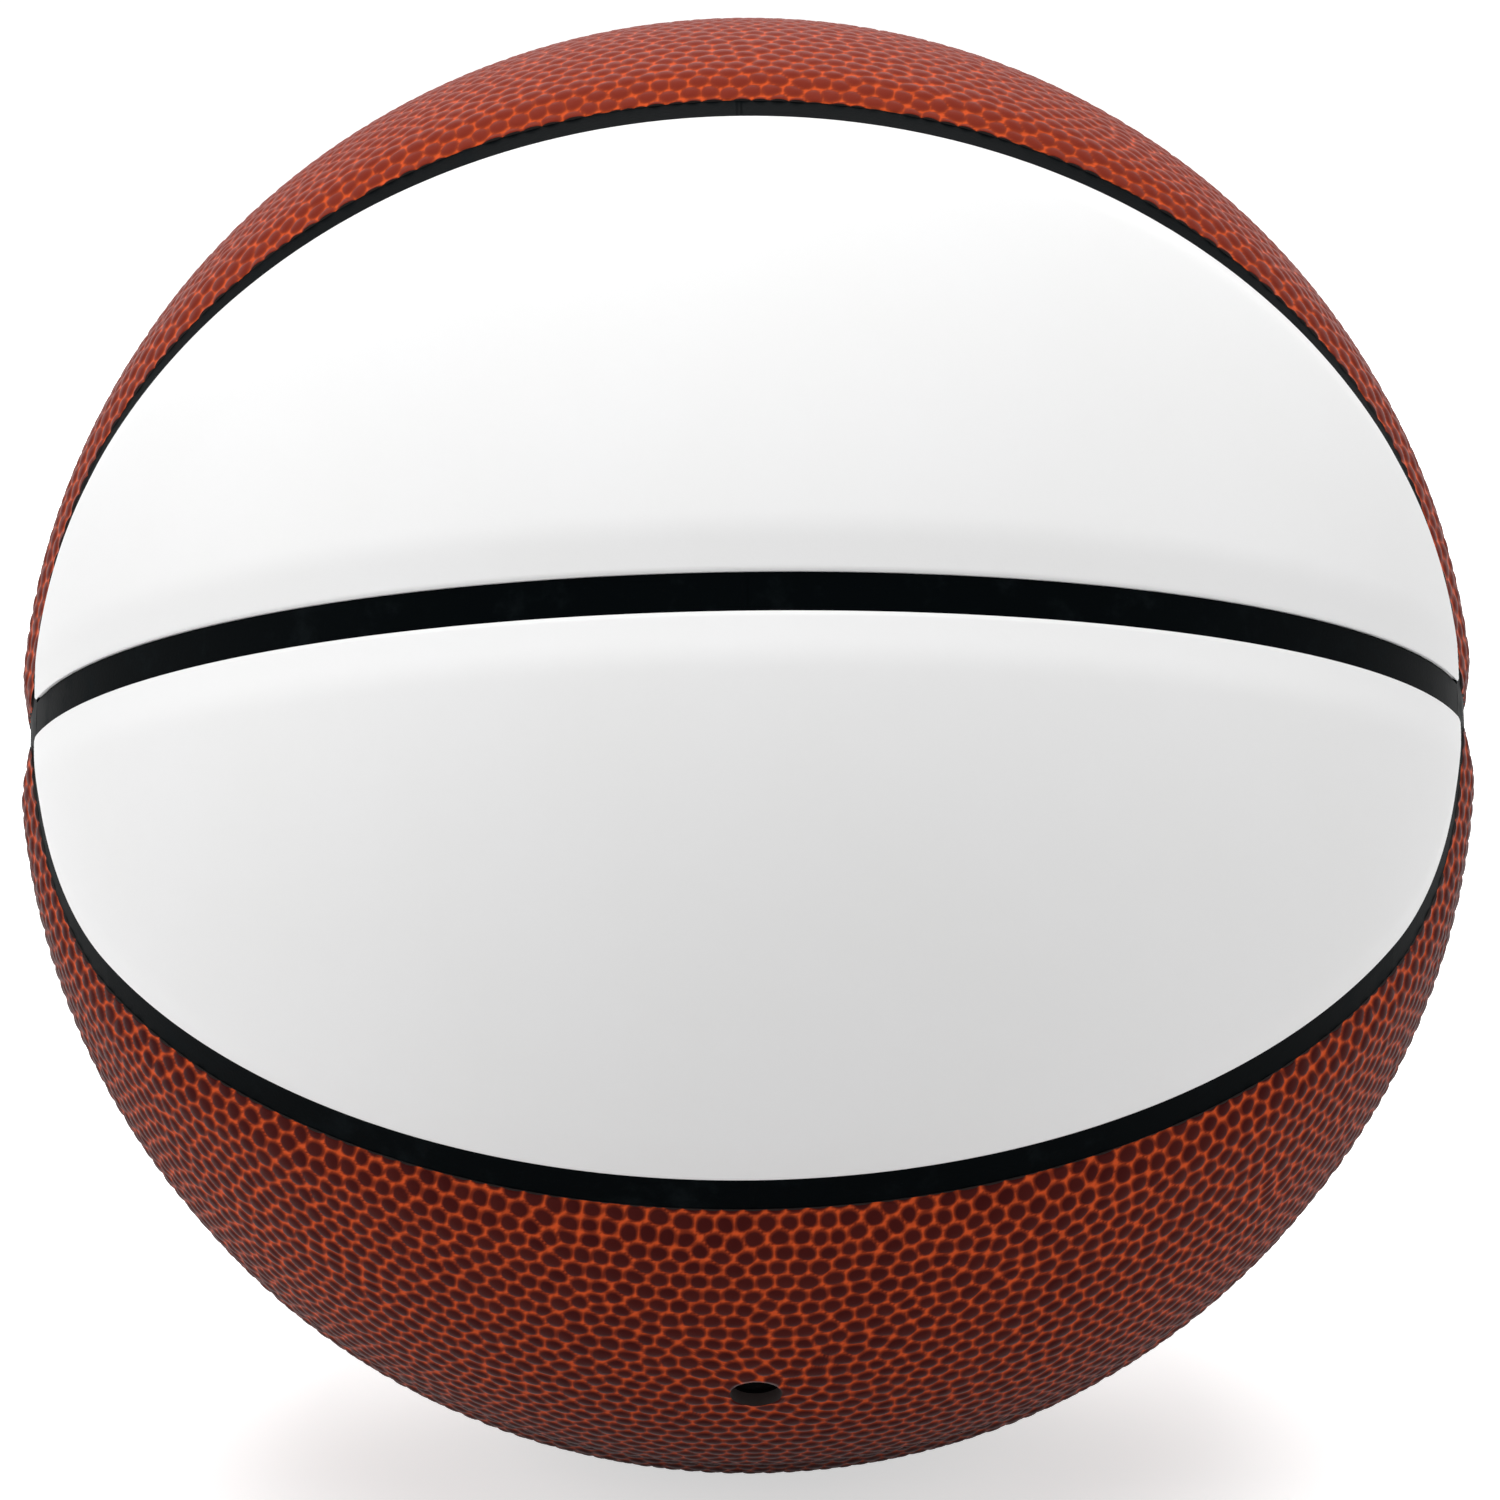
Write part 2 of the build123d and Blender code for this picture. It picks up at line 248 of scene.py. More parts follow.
# The section across a seam: the ball's circle, a rounding off its crown, then a bevel to the lip
CROWN = (CHANNEL_WIDTH / 2 + SHOULDER_WIDTH) / BALL_RADIUS
ROUNDING_X = BALL_RADIUS * sin(CROWN) - SHOULDER_RADIUS * sin(CROWN - CROWN_BREAK)
ROUNDING_Y = BALL_RADIUS * cos(CROWN) - SHOULDER_RADIUS * cos(CROWN - CROWN_BREAK)
BEVEL_X = ROUNDING_X - SHOULDER_RADIUS * sin(BEVEL)
BEVEL_Y = ROUNDING_Y + SHOULDER_RADIUS * cos(BEVEL)
BEVEL_FOOT = BEVEL_Y - BEVEL_X * tan(BEVEL)
LIP = atan2(CHANNEL_WIDTH / 2, BEVEL_FOOT + CHANNEL_WIDTH / 2 * tan(BEVEL))


def seam_angles(p):
    """Angles from directions p to the middle seam, the cross seam and the oval, none below zero.

    The seams look alike in all eight corners of the ball, so p is first mirrored into one of them. A
    straight seam's angle is the arcsine of the height over its plane. The oval's is that over its
    side's plane, or, past the end of the side, the angle to the end's centre less the end's radius.
    """
    q = np.abs(p) * (1, -1, 1)
    side = np.arcsin(q @ SIDE_POLE)
    end = np.arccos(np.clip(q @ END_POLE, -1, 1)) - END_RADIUS
    oval = np.where(q @ HANDOVER > 0, end, side)
    return np.arcsin(q[..., 2]), np.arcsin(-q[..., 1]), np.abs(oval)


def skived_radius(angle):
    """Radius of the cover at an angle from a seam: where the ray at that angle meets the section.

    On the bevel it is the bevel's foot over cos(angle) - tan(bevel) sin(angle). On the rounding it is
    the ray's run to beside the arc's centre, plus the half chord there. Beyond, it is the ball's own.
    """
    bevel = BEVEL_FOOT / (np.cos(angle) - tan(BEVEL) * np.sin(angle))
    beside = ROUNDING_X * np.sin(angle) + ROUNDING_Y * np.cos(angle)
    chord = beside**2 - ROUNDING_X**2 - ROUNDING_Y**2 + SHOULDER_RADIUS**2
    rounding = beside + np.sqrt(np.maximum(chord, 0))
    ball = np.full_like(angle, BALL_RADIUS)
    return np.select([angle < atan2(BEVEL_X, BEVEL_Y), angle < CROWN], [bevel, rounding], ball)


def cover_radius(p):
    """Radius of the cover in directions p: the least that the skiving along any seam leaves."""
    return np.min([skived_radius(angle) for angle in seam_angles(p)], axis=0)


def to_chart(p, rise):
    """Longitude and latitude of directions, both zero at a panel's middle: the directions are turned
    back about x by its rise, then longitude is the angle from -y to x, and latitude the arcsine of z."""
    y = p[..., 1] * cos(rise) - p[..., 2] * sin(rise)
    z = p[..., 1] * sin(rise) + p[..., 2] * cos(rise)
    return np.stack([np.arctan2(p[..., 0], -y), np.arcsin(z)], -1)


def from_chart(chart, rise):
    """Directions for a longitude and latitude: to_chart turned round."""
    x = np.cos(chart[..., 1]) * np.sin(chart[..., 0])
    y = -np.cos(chart[..., 1]) * np.cos(chart[..., 0])
    z = np.sin(chart[..., 1])
    return np.stack([x, y * cos(rise) + z * sin(rise), z * cos(rise) - y * sin(rise)], -1)


def arc(start, stop, pole, points=200):
    """Directions from start to stop on the circle about a pole: the pole's share of the start, plus
    its crosswise share turned by even steps of the angle between the two."""
    along = pole * (start @ pole)
    out = start - along
    beside = np.cross(pole, out)
    steps = np.linspace(0, atan2(stop @ beside, stop @ out), points)[:, None]
    return along + np.cos(steps) * out + np.sin(steps) * beside


def towards(pole, point, angle):
    """The direction at an angle from a pole, on the great circle through a point: the angle's cosine
    along the pole, plus its sine along the point's crosswise share."""
    side = point - pole * (point @ pole)
    return pole * cos(angle) + side / np.linalg.norm(side) * sin(angle)


def mirrored(points):
    """The same line on the other side of the plane x = 0, from its far end back."""
    return points[::-1] * (-1, 1, 1)


def oval_outline():
    """The lip of the upper oval half as four lines of directions: bottom, top, left and right.

    The bottom runs beside the middle seam and the top beside the oval's side. The ends follow the
    oval's end circle. Each lower corner is an arc that touches both lines, shared at its middle.
    """
    fillet = CORNER_RADIUS / BALL_RADIUS
    height = sin(LIP + fillet)
    inside = END_RADIUS - LIP
    swing = END_CENTRE + acos(cos(inside - fillet) / sqrt(1 - height**2))
    corner = np.array([cos(LIP + fillet) * sin(swing), -cos(LIP + fillet) * cos(swing), height])
    below = towards(MIDDLE_POLE, corner, np.pi / 2 - LIP)
    beside = towards(END_POLE, corner, inside)
    tip = towards(corner, below + beside, fillet)
    handover = towards(END_POLE, SIDE_POLE, inside)
    middle = arc(below * (-1, 1, 1), below, MIDDLE_POLE)
    rounding = arc(tip, below, corner)[::-1]
    bottom = np.concatenate([mirrored(rounding), middle[1:-1], rounding])
    right = np.concatenate([arc(tip, beside, corner), arc(beside, handover, END_POLE)[1:]])
    top = arc(handover * (-1, 1, 1), handover, SIDE_POLE)
    return bottom, top, right * (-1, 1, 1), right


def spread(line, rise, count, crowding=0.0, samples=4001):
    """A line of directions as chart points, count steps along it. The steps are even, or crowd
    towards its middle: their density is 1 minus crowding times the cosine of a full turn."""
    chart = to_chart(line, rise)
    run = np.concatenate([[0], np.cumsum(np.linalg.norm(np.diff(line, axis=0), axis=1))])
    fine = np.linspace(0, 1, samples)
    reach = fine - crowding * np.sin(2 * np.pi * fine) / (2 * np.pi)
    at = np.interp(np.linspace(0, 1, count + 1), reach, fine) * run[-1]
    return np.stack([np.interp(at, run, chart[:, 0]), np.interp(at, run, chart[:, 1])], -1)


def patch(outline, rise, columns, rows, crowding=0.0):
    """A grid of chart points that fills an outline of four lines, as a Coons patch: the blend of
    bottom and top, plus the blend of left and right, minus the blend of the four corners."""
    bottom, top = (spread(line, rise, columns, crowding)[:, None] for line in outline[:2])
    left, right = (spread(line, rise, rows)[None] for line in outline[2:])
    u = np.linspace(0, 1, columns + 1)[:, None, None]
    v = np.linspace(0, 1, rows + 1)[None, :, None]
    start = (1 - v) * bottom[:1] + v * top[:1]
    stop = (1 - v) * bottom[-1:] + v * top[-1:]
    corners = (1 - u) * start + u * stop
    return (1 - v) * bottom + v * top + (1 - u) * left + u * right - corners


def quads(index):
    """The four corners of each cell of a grid of vertex numbers, anticlockwise from outside."""
    ring = [index[:-1, :-1], index[1:, :-1], index[1:, 1:], index[:-1, 1:]]
    return np.stack(ring, -1)


def rim(index):
    """The vertex numbers round a grid, anticlockwise from outside, without the first one again."""
    return np.concatenate([index[:-1, 0], index[-1, :-1], index[:0:-1, -1], index[0, :0:-1]])


def walls(upper, lower):
    """Upright faces from a loop of vertices to a coarser one below it, one face for each lower edge."""
    step = len(upper) // len(lower)
    fine = np.append(upper, upper[0])
    runs = np.stack([fine[k : k + len(upper) : step] for k in range(step, -1, -1)], -1)
    return np.concatenate([np.stack([lower, np.roll(lower, -1)], -1), runs], -1)


def stood(points, place):
    """Points of a front upper panel, brought to another place and tilted to how the ball stands: a
    half turn changes the signs of two coordinates, and the tilt turns y and z about x."""
    x, y, z = (points * HALF_TURNS[place]).T
    upright, leaning = cos(STANDING_TILT), sin(STANDING_TILT)
    return np.stack([x, y * upright + z * leaning, z * upright - y * leaning], -1)


def panel_piece(name, place, points, outer, rest, materials, marks):
    """A closed panel: its smooth outer faces get the first material, and the flat rest, which is the
    underside and the cut edges, gets the last one. Marks are values for each point, by name."""
    groups = [group.reshape(-1, group.shape[-1]) for group in (*outer, *rest)]
    mesh = bpy.data.meshes.new(name)
    mesh.from_pydata(stood(points, place), [], [loop for group in groups for loop in group.tolist()])
    outside = np.arange(len(mesh.polygons)) < sum(len(group) for group in groups[: len(outer)])
    mesh.polygons.foreach_set("use_smooth", outside)
    mesh.polygons.foreach_set("material_index", np.where(outside, 0, len(materials) - 1))
    for mark, values in marks.items():
        mesh.attributes.new(mark, "FLOAT", "POINT").data.foreach_set("value", values.astype(np.float32))
    for material in materials:
        mesh.materials.append(material)
    piece = bpy.data.objects.new(name, mesh)
    bpy.context.scene.collection.objects.link(piece)
    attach(piece, "root")
    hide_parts(name.removesuffix("_skin"))


WHITE_COAT = (0.86, 0.86, 0.865, 1)
WHITE_CLOUD = (0.84, 0.84, 0.835, 1)
WHITE_CLOUD_SIZE = 0.02
WHITE_GRAIN_SIZE = 0.00035
WHITE_GRAIN_DEPTH = 0.000006
white_leather, tone = start_finish("smooth_white_leather")
cloud = tone.noise(WHITE_CLOUD_SIZE, detail=3)
grain = tone.noise(WHITE_GRAIN_SIZE, detail=3)
end_finish(
    tone,
    Base_Color=cloud.between(WHITE_COAT, WHITE_CLOUD),
    Roughness=0.42 + 0.1 * grain,
    Specular_IOR_Level=0.15,
    Normal=tone.relief(grain, WHITE_GRAIN_DEPTH),
)

# The smooth underside keeps only every few lines of the grid, whose counts are multiples of that step
UNDERSIDE_STEP = 8
WHITE_COLUMNS, WHITE_ROWS = 400, 120
SEAT_RADIUS = BALL_RADIUS - PANEL_THICKNESS
OVAL_RISE = OVAL_SIDE / 2
white_chart = patch(oval_outline(), OVAL_RISE, WHITE_COLUMNS, WHITE_ROWS)
top_of_white = from_chart(white_chart, OVAL_RISE)
under_white = top_of_white[::UNDERSIDE_STEP, ::UNDERSIDE_STEP] * SEAT_RADIUS
raised = top_of_white * cover_radius(top_of_white)[..., None]
points = np.concatenate([raised.reshape(-1, 3), under_white.reshape(-1, 3)])
upper = np.arange(raised.size // 3).reshape(raised.shape[:2])
lower = upper.size + np.arange(under_white.size // 3).reshape(under_white.shape[:2])
rest = [quads(lower)[..., ::-1], walls(rim(upper), rim(lower))]
for place in ("front_upper", "front_lower"):
    name = f"oval_panel_{place}_skin"
    panel_piece(name, place, points, [quads(upper)], rest, [white_leather], {})


# Brown panels: composite leather on a dark backing, embossed and coloured flat, then cut, skived and
# glued down. The pebbles' tops are dark maroon, and their valleys stay bright orange brown. On the tops,
# painted light from above makes them paler towards the top of the ball as it stands. The punch that
# made the valve's hole pressed its rim flat.
PEBBLE_PITCH = 0.00253
PEBBLE_HEIGHT = 0.00026
PEBBLE_SLOPE = 0.00085
PEBBLE_SLOPE_POWER = 2.2
PEBBLE_ROUNDNESS = 0.00026
PEBBLE_SCATTER_SHARE = 0.36
PITCH_ANGLE = PEBBLE_PITCH / BALL_RADIUS
ROW_ANGLE = PITCH_ANGLE * sqrt(3) / 2
NEAR_PLACES = np.arange(-3, 4)
NEIGHBOURS = 4
EVENING_ROUNDS = 12
EVENING_SPOTS_PER_PITCH = 3.3

# The lattice and the spots that even it out run past the panel's edge by so many places and pitches
LATTICE_MARGIN = 6
SPOT_MARGIN = 2


def pebbles_near(spots, centres):
    """Squared distances from chart spots to the pebbles of the 7 by 7 lattice places round each, and
    the numbers of those pebbles. Longitudes count by the cosine of the spot's latitude."""
    rows, columns = centres.shape[:2]
    row = np.rint(spots[:, 1] / ROW_ANGLE).astype(int) + rows // 2
    column = np.rint(spots[:, 0] / PITCH_ANGLE - 0.5 * (row % 2)).astype(int) + columns // 2
    beside = (row[:, None, None] + NEAR_PLACES[:, None]) * columns + column[:, None, None] + NEAR_PLACES
    beside = beside.reshape(len(spots), -1)
    away = spots[:, None] - centres.reshape(-1, 2)[beside]
    return (away[..., 0] * np.cos(spots[:, 1:])) ** 2 + away[..., 1] ** 2, beside


def embossed_centres(reach, seed):
    """Centres of a sheet's pebbles: a hexagonal lattice whose points are scattered at random, then
    evened out, by moving each several times to the middle of the spots that are nearest to it."""
    chance = np.random.default_rng(seed)
    half = np.ceil(reach[::-1] / (ROW_ANGLE, PITCH_ANGLE)).astype(int) + LATTICE_MARGIN
    row, column = np.mgrid[-half[0] : half[0] + 1, -half[1] : half[1] + 1]
    odd = (row + half[0]) % 2
    centres = np.stack([(column + 0.5 * odd) * PITCH_ANGLE, row * ROW_ANGLE], -1)
    scatter = chance.uniform(-1, 1, centres.shape) * PEBBLE_SCATTER_SHARE * PITCH_ANGLE
    centres = centres + scatter
    fine, margin = PITCH_ANGLE / EVENING_SPOTS_PER_PITCH, SPOT_MARGIN * PITCH_ANGLE
    axes = [np.arange(-edge - margin, edge + margin, fine) for edge in reach]
    spots = np.stack(np.meshgrid(*axes, indexing="ij"), -1).reshape(-1, 2)
    for _ in range(EVENING_ROUNDS):
        square, beside = pebbles_near(spots, centres)
        own = np.take_along_axis(beside, square.argmin(1)[:, None], 1)[:, 0]
        count = np.bincount(own, minlength=row.size)
        sums = [np.bincount(own, spots[:, axis], row.size) for axis in (0, 1)]
        middle = np.stack(sums, -1) / np.maximum(count, 1)[:, None]
        centres = np.where(count[:, None] > 0, middle, centres.reshape(-1, 2)).reshape(centres.shape)
    return centres


def embossing(spots, centres, seed):
    """Distance in metres from chart spots to the edge of their pebble, and a chance tone per pebble.

    The edge towards a neighbour lies midway: the difference of the squared distances over twice the
    centres' distance. The four nearest edges are blended by a soft minimum, which rounds the corners.
    """
    square, beside = pebbles_near(spots, centres)
    near = np.argpartition(square, NEIGHBOURS, axis=1)[:, : NEIGHBOURS + 1]
    near = np.take_along_axis(near, np.take_along_axis(square, near, 1).argsort(1), 1)
    square = np.take_along_axis(square, near, 1)
    which = np.take_along_axis(beside, near, 1)
    places = centres.reshape(-1, 2)[which]
    narrowing = np.stack([np.cos(spots[:, 1]), np.ones(len(spots))], -1)[:, None]
    apart = (places[:, 1:] - places[:, :1]) * narrowing
    edges = (square[:, 1:] - square[:, :1]) / (2 * np.linalg.norm(apart, axis=-1)) * BALL_RADIUS
    soft = -PEBBLE_ROUNDNESS * np.log(np.exp(-edges / PEBBLE_ROUNDNESS).sum(1))
    tones = np.random.default_rng(seed).uniform(0, 1, centres.size // 2)
    return soft, tones[which[:, 0]]


def strip_outline():
    """The lip of the upper strip as four lines: bottom beside the oval, top beside the cross seam, and
    its two ends beside the middle seam. Each corner is an arc that touches both of its lines."""
    fillet = CORNER_RADIUS / BALL_RADIUS
    height = sin(LIP + fillet)
    outside = END_RADIUS + LIP
    swing = END_CENTRE + acos(cos(outside + fillet) / sqrt(1 - height**2))
    low = np.array([cos(LIP + fillet) * sin(swing), -cos(LIP + fillet) * cos(swing), height])
    low_oval = towards(END_POLE, low, outside)
    low_middle = towards(MIDDLE_POLE, low, np.pi / 2 - LIP)
    low_tip = towards(low, low_oval + low_middle, fillet)
    high = np.array([sqrt(1 - 2 * height**2), -height, height])
    high_middle = towards(MIDDLE_POLE, high, np.pi / 2 - LIP)
    high_cross = towards(CROSS_POLE, high, np.pi / 2 - LIP)
    high_tip = towards(high, high_middle + high_cross, fillet)
    handover = towards(END_POLE, SIDE_POLE, outside)
    side = arc(handover * (-1, 1, 1), handover, SIDE_POLE)
    end = np.concatenate([arc(handover, low_oval, END_POLE), arc(low_oval, low_tip, low)[1:]])
    bottom = np.concatenate([mirrored(end), side[1:-1], end])
    ledge = arc(low_middle, high_middle, MIDDLE_POLE)[1:-1]
    right = np.concatenate([arc(low_tip, low_middle, low), ledge, arc(high_middle, high_tip, high)])
    half = arc(high_cross, np.array([0, -sin(LIP), cos(LIP)]), CROSS_POLE)
    half = np.concatenate([arc(high_tip, high_cross, high), half[1:]])
    top = np.concatenate([half * (-1, 1, 1), half[-2::-1]])
    return bottom, top, right * (-1, 1, 1), right


# The valve's hole: a square window of the grid, so many cells wide, gives way to rings round the hole
VALVE_HOLE_RADIUS = 0.003
VALVE_PRESSED_WIDTH = 0.0008
VALVE_WINDOW = 48
VALVE_RINGS = 20
VALVE_UNDERSIDE_RINGS = 2


def collar(chart, first, loop, rings, start=0):
    """Rings of chart points and their vertex numbers, from the valve's hole out to a loop of the grid:
    straight steps from each loop point's own bearing on the hole to the point itself. The first ring
    is the hole, or lies some steps beyond it."""
    out = chart.reshape(-1, 2)[loop]
    bearing = out / np.linalg.norm(out, axis=1, keepdims=True)
    hole = bearing * VALVE_HOLE_RADIUS / BALL_RADIUS
    share = (np.arange(start, start + rings) / (start + rings))[:, None, None]
    points = (1 - share) * hole + share * out
    numbers = np.concatenate([first + np.arange(rings * len(loop)).reshape(rings, -1), loop[None]])
    return points.reshape(-1, 2), numbers


def ring_quads(numbers):
    """The four corners of each cell between rings, anticlockwise from outside."""
    beyond = np.roll(numbers, -1, axis=1)
    return np.stack([numbers[:-1], numbers[1:], beyond[1:], beyond[:-1]], -1)


VALLEY_ORANGE = (0.64, 0.086, 0.020, 1)
FLANK_BROWN = (0.27, 0.037, 0.013, 1)
TOP_MAROON = (0.034, 0.0045, 0.0050, 1)
TOP_BROWN = (0.052, 0.0085, 0.0075, 1)
# Painted light: this paler colour, with the heights and shares below, paints light from above onto the
# pebbles' tops, more of it the higher they stand. It is not the leather's own colour.
TOP_PAINTED_LIGHT = (0.32, 0.041, 0.020, 1)
PAINTED_LIGHT_HEIGHTS = (-0.018, 0.072)
PAINTED_LIGHT_SHARES = (0.05, 0.6)
OWN_TONE_SHARE = 0.7
BROWN_CLOUD_SIZE = 0.015
BROWN_CLOUD_LEVELS = (0.35, 0.65)
BROWN_GRAIN_SIZE = 0.0003
BROWN_GRAIN_DEPTH = 0.00001

# Millimetres inside a pebble's edge over which the valley turns to the flank, and the flank to the top
FLANK_RUN = (-0.12, 0.14)
TOP_RUN = (-0.02, 0.36)
brown_leather, tone = start_finish("pebbled_brown_leather")
edge = tone.node("Attribute", {"attribute_name": "pebble"}, output=2)
own_tone = tone.node("Attribute", {"attribute_name": "tone"}, output=2)
painted_light_share = tone.node("Attribute", {"attribute_name": "painted_light_share"}, output=2)
cloud = tone.noise(BROWN_CLOUD_SIZE, detail=3).step(*BROWN_CLOUD_LEVELS)
grain = tone.noise(BROWN_GRAIN_SIZE, detail=2)
top = edge.step(*TOP_RUN)
ground_colour = edge.step(*FLANK_RUN).between(VALLEY_ORANGE, FLANK_BROWN)
mixed = OWN_TONE_SHARE * own_tone + (1 - OWN_TONE_SHARE) * cloud
# The tops are mixed towards the paler colour by a painted light share, which grows with height as the
# ball stands
top_colour = painted_light_share.between(mixed.between(TOP_MAROON, TOP_BROWN), TOP_PAINTED_LIGHT)
end_finish(
    tone,
    Base_Color=top.between(ground_colour, top_colour),
    Roughness=0.55 - 0.12 * top + 0.1 * grain,
    Specular_IOR_Level=0.006,
    Sheen_Weight=0.3,
    Sheen_Roughness=0.32,
    Normal=tone.relief(grain, BROWN_GRAIN_DEPTH),
)

BACKING_BLACK = (0.006, 0.004, 0.004, 1)
BACKING_BROWN = (0.020, 0.008, 0.006, 1)
BACKING_FIBRE_SIZE = 0.0006
backing, tone = start_finish("cut_edge_and_backing")
fibre = tone.noise(BACKING_FIBRE_SIZE, detail=3)
end_finish(tone, Base_Color=fibre.between(BACKING_BLACK, BACKING_BROWN), Roughness=0.7 + 0.2 * fibre)

MILLIMETRES_PER_METRE = 1000
OVAL_COLUMNS, OVAL_ROWS = 560, 168
STRIP_COLUMNS, STRIP_ROWS, STRIP_CROWDING = 592, 160, 0.2
STRIP_RISE = (OVAL_SIDE + np.pi / 2) / 2
oval_chart = patch(oval_outline(), OVAL_RISE, OVAL_COLUMNS, OVAL_ROWS)
strip_chart = patch(strip_outline(), STRIP_RISE, STRIP_COLUMNS, STRIP_ROWS, STRIP_CROWDING)
SHAPES = {"oval": (oval_chart, OVAL_RISE), "strip": (strip_chart, STRIP_RISE)}
BROWN_PANELS = [
    ("oval", "back_upper"),
    ("oval", "back_lower"),
    ("strip", "front_upper"),
    ("strip", "front_lower"),
    ("strip", "back_upper"),
    ("strip", "back_lower"),
]
for seed, (shape, place) in enumerate(BROWN_PANELS):
    chart, rise = SHAPES[shape]
    under = chart[::UNDERSIDE_STEP, ::UNDERSIDE_STEP]
    spots, below = chart.reshape(-1, 2), under.reshape(-1, 2)
    upper = np.arange(len(spots)).reshape(chart.shape[:2])
    lower = np.arange(len(below)).reshape(under.shape[:2])
    cells, under_cells = quads(upper), quads(lower)
    bands, under_bands, holes, relief = [], [], [], PEBBLE_HEIGHT
    if (shape, place) == ("strip", "front_lower"):
        # The window starts on a line of the underside's coarser grid, so that both have the same one
        step, half = UNDERSIDE_STEP, VALVE_WINDOW // 2
        middle = [len(chart) // 2, int(np.abs(chart[len(chart) // 2, :, 1]).argmin())]
        i, j = (step * round((at - half) / step) for at in middle)
        window = upper[i : i + 2 * half + 1, j : j + 2 * half + 1]
        i, j, half = i // step, j // step, half // step
        under_window = lower[i : i + 2 * half + 1, j : j + 2 * half + 1]

        # Rings fill both windows, and the hole's wall runs from the top's first ring to a mouth below it
        extra, numbers = collar(chart, len(spots), rim(window), VALVE_RINGS)
        under_loop = rim(under_window)
        under_extra, under_numbers = collar(under, len(below), under_loop, VALVE_UNDERSIDE_RINGS, start=1)
        mouth = len(below) + len(under_extra) + np.arange(numbers.shape[1])
        cells = cells[~np.isin(cells, window).all(-1)]
        under_cells = under_cells[~np.isin(under_cells, under_window).all(-1)]
        below = np.concatenate([below, under_extra, extra[: len(mouth)]])
        spots = np.concatenate([spots, extra])
        bands = [ring_quads(numbers)]
        under_bands = [ring_quads(under_numbers), walls(mouth, under_numbers[0])]
        holes = [walls(numbers[0, ::-1], mouth[::-1] + len(spots))]

        # The pressed rim: the valleys' depth grows with a smooth step of the distance beyond the hole
        beyond_hole = np.linalg.norm(spots, axis=1) * BALL_RADIUS - VALVE_HOLE_RADIUS
        pressed = np.clip(beyond_hole / VALVE_PRESSED_WIDTH, 0, 1)
        relief = PEBBLE_HEIGHT * pressed**2 * (3 - 2 * pressed)

    # Each spot drops from the crown by a power of how far down its pebble's flank it lies
    centres = embossed_centres(np.abs(spots).max(0), seed)
    edge_distance, pebble_tone = embossing(spots, centres, seed)
    rise_share = np.clip(edge_distance / PEBBLE_SLOPE, 0, 1)
    drop = relief * (1 - rise_share) ** PEBBLE_SLOPE_POWER
    directions = from_chart(spots, rise)
    raised = directions * (cover_radius(directions) - drop)[:, None]
    points = np.concatenate([raised, from_chart(below, rise) * SEAT_RADIUS])
    underside = [(faces + len(spots))[..., ::-1] for faces in (under_cells, *under_bands)]
    rest = [*underside, walls(rim(upper), rim(lower) + len(spots)), *holes]
    marks = {
        "pebble": np.concatenate([edge_distance * MILLIMETRES_PER_METRE, np.zeros(len(below))]),
        "tone": np.concatenate([pebble_tone, np.zeros(len(below))]),
        # The painted light share of each point, from its height as the ball stands
        "painted_light_share": np.interp(stood(points, place)[:, 2], PAINTED_LIGHT_HEIGHTS, PAINTED_LIGHT_SHARES),
    }
    name = f"{shape}_panel_{place}_skin"
    outer, finishes = [cells, *bands], [brown_leather, backing]
    panel_piece(name, place, points, outer, rest, finishes, marks)


# Floor: a plain pale surface under the ball, wide enough to be the background too. To the camera and
# in gloss it adds a little light of its own, so that it reads as white but keeps the shadow.
def shown(tone):
    """1 on the rays that show a surface, to the camera, in gloss or through glass, and 0 on those that
    only carry its light: the greatest of the three marks."""
    kinds = ("Is Camera Ray", "Is Glossy Ray", "Is Transmission Ray")
    camera, gloss, glass = (tone.node("LightPath", output=kind) for kind in kinds)
    return tone.math("MAXIMUM", tone.math("MAXIMUM", camera, gloss), glass)


FLOOR_HALF = 20.0
FLOOR_WHITE = (0.76, 0.76, 0.76, 1)
FLOOR_LIFT_NEAR = 0.6
FLOOR_LIFT_FAR = 0.9
FLOOR_NEAR, FLOOR_FAR = 0.15, 0.9
floor_mesh = bpy.data.meshes.new("floor")
corners = np.array([(-1, -1, 0), (1, -1, 0), (1, 1, 0), (-1, 1, 0)]) * FLOOR_HALF
floor_mesh.from_pydata(corners + (0, 0, -BALL_RADIUS), [], [(0, 1, 2, 3)])
floor_finish, tone = start_finish("pale_floor")
place = tone.node("TexCoord", output=3)
distance = tone.node("VectorMath", {"operation": "LENGTH"}, {0: place}, output=1)
away = distance.step(FLOOR_NEAR, FLOOR_FAR)
lift = shown(tone) * (FLOOR_LIFT_NEAR + (FLOOR_LIFT_FAR - FLOOR_LIFT_NEAR) * away)
glow = tone.node("Emission", {}, {"Color": lift})
matt = tone.node("BsdfDiffuse", {}, {"Color": FLOOR_WHITE})
tone.node("OutputMaterial", {}, {"Surface": tone.node("AddShader", {}, {0: glow, 1: matt})})
floor_mesh.materials.append(floor_finish)
floor = bpy.data.objects.new("floor", floor_mesh)
bpy.context.scene.collection.objects.link(floor)


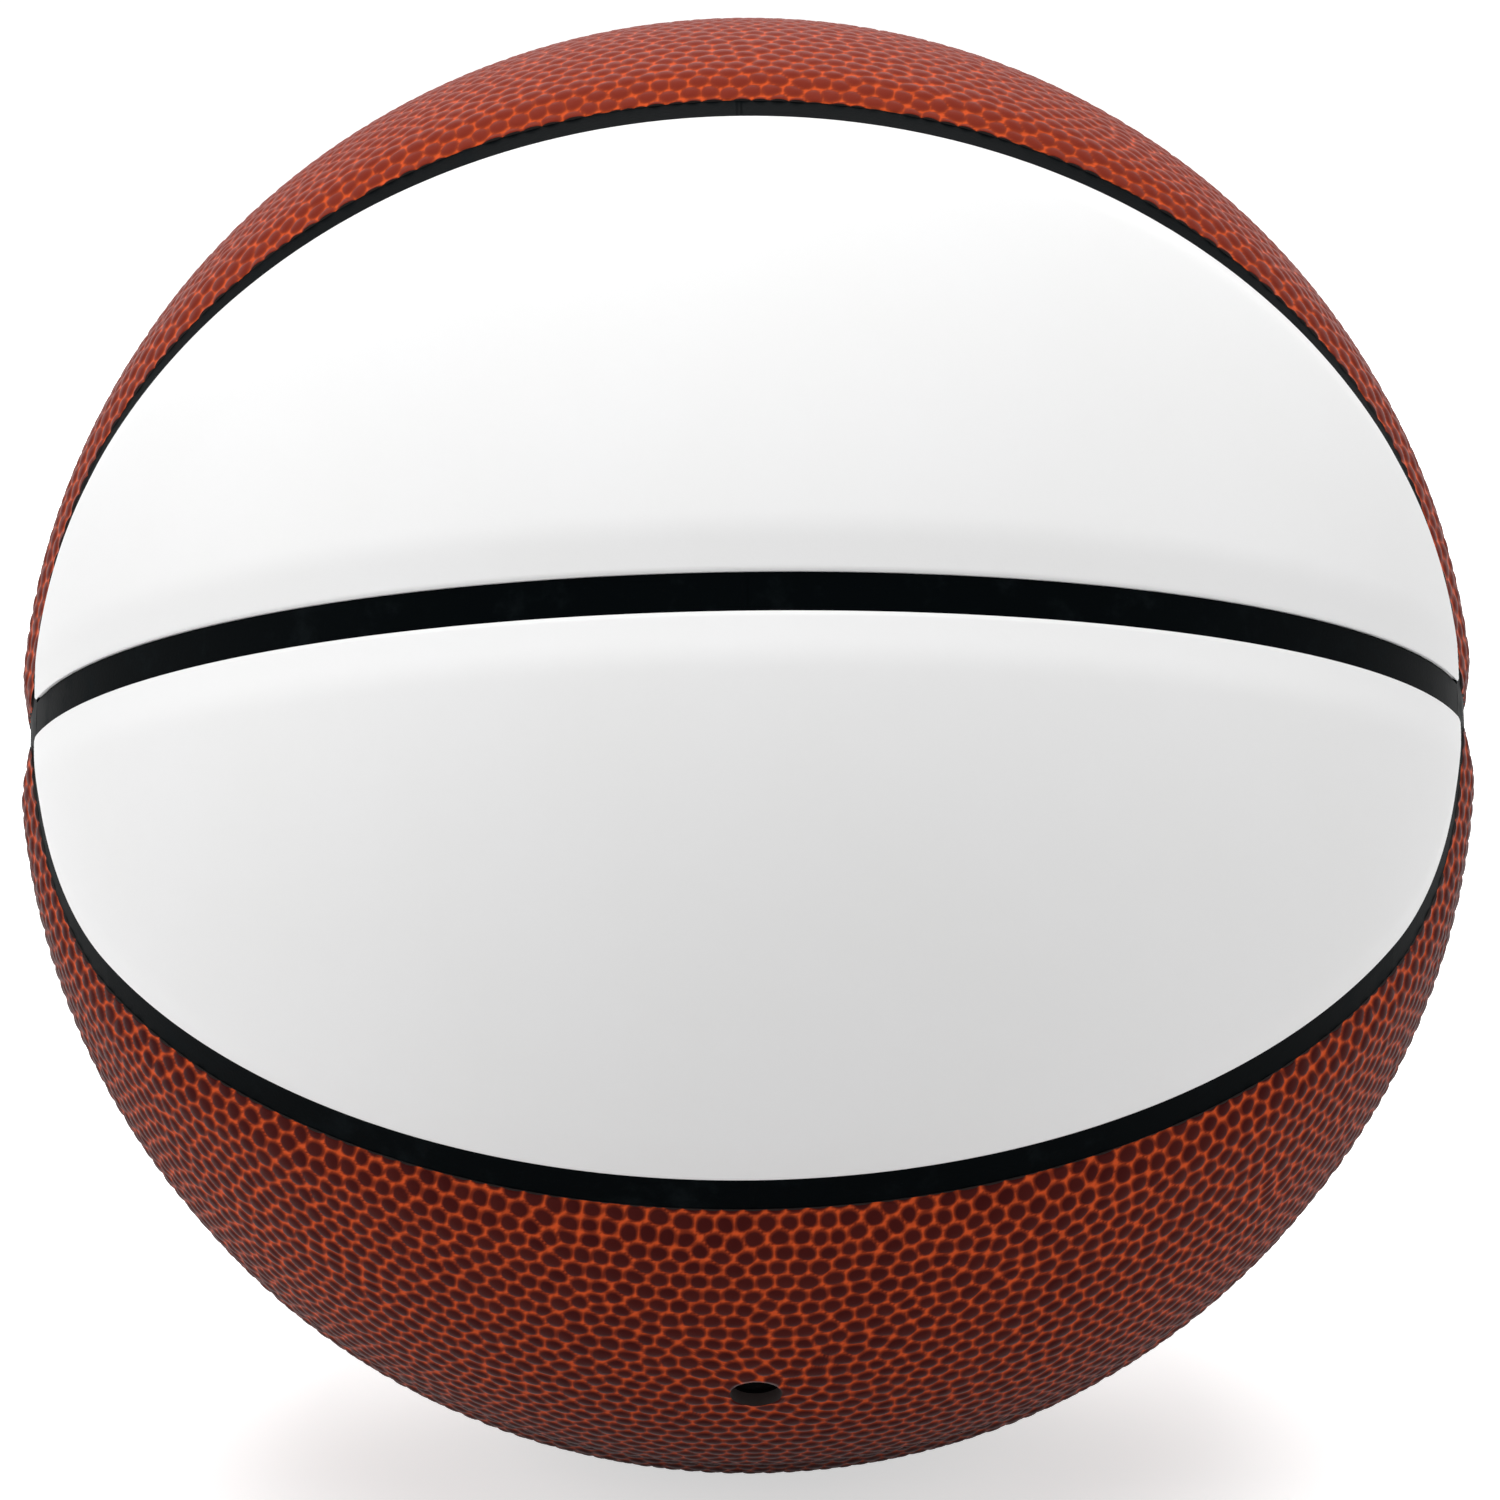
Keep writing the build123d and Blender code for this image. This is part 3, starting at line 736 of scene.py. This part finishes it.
# Light: a product tent, with a broad soft lamp overhead, one on each side, the left one the stronger,
# one behind for the rim, and an even pale surround, which the camera and gloss see as plain white.
def lamp(name, direction, distance, size, power):
    """A square soft lamp at a distance from the ball in a direction, turned to face it."""
    light = bpy.data.lights.new(name, "AREA")
    light.shape, light.size, light.energy = "SQUARE", size, power
    holder = bpy.data.objects.new(name, light)
    holder.location = Vector(direction).normalized() * distance
    holder.rotation_euler = Vector(direction).to_track_quat("Z", "Y").to_euler()
    bpy.context.scene.collection.objects.link(holder)


SURROUND_LIGHT = 0.27
lamp("overhead", direction=(0, -0.28, 1), distance=1.6, size=1.6, power=25.1)
lamp("left", direction=(-1, -0.1, 0.2), distance=1.3, size=1.2, power=7.2)
lamp("right", direction=(1, -0.1, 0.2), distance=1.3, size=1.2, power=3.2)
lamp("rim", direction=(0, 0.9, 0.75), distance=1.4, size=1.0, power=9.0)
world = bpy.data.worlds.new("surround")
world.use_nodes = True
world.node_tree.nodes.clear()
sky = Tone(world.node_tree)
strength = SURROUND_LIGHT + (1 - SURROUND_LIGHT) * shown(sky)
background = sky.node("Background", {}, {"Color": (1, 1, 1, 1), "Strength": strength})
sky.node("OutputWorld", {}, {"Surface": background})
bpy.context.scene.world = world
bpy.context.scene.view_settings.view_transform = "Standard"


# Camera: a long lens straight in front of the ball and a little above its middle. Its roll and its
# shift are as the picture was framed.
CAMERA_DISTANCE = 8 * BALL_RADIUS
CAMERA_RISE = radians(9)
CAMERA_ROLL = radians(-0.75)
SENSOR_WIDTH = 36
FRAME_PIXELS = 1500
FOCAL_PIXELS = 5781
BALL_PIXEL = (747.5, 745.8)
lens = bpy.data.cameras.new("camera")
lens.sensor_width = SENSOR_WIDTH
lens.lens = SENSOR_WIDTH * FOCAL_PIXELS / FRAME_PIXELS
lens.shift_x = (FRAME_PIXELS / 2 - BALL_PIXEL[0]) / FRAME_PIXELS
lens.shift_y = (BALL_PIXEL[1] - FRAME_PIXELS / 2) / FRAME_PIXELS
camera = bpy.data.objects.new("camera", lens)
back = Vector((0, -cos(CAMERA_RISE), sin(CAMERA_RISE)))
level = Vector((0, 0, 1)).cross(back).normalized()
right = level * cos(CAMERA_ROLL) + back.cross(level) * sin(CAMERA_ROLL)
turned = Matrix((right, back.cross(right), back)).transposed().to_4x4()
camera.matrix_world = Matrix.Translation(back * CAMERA_DISTANCE) @ turned
bpy.context.scene.collection.objects.link(camera)
bpy.context.scene.camera = camera
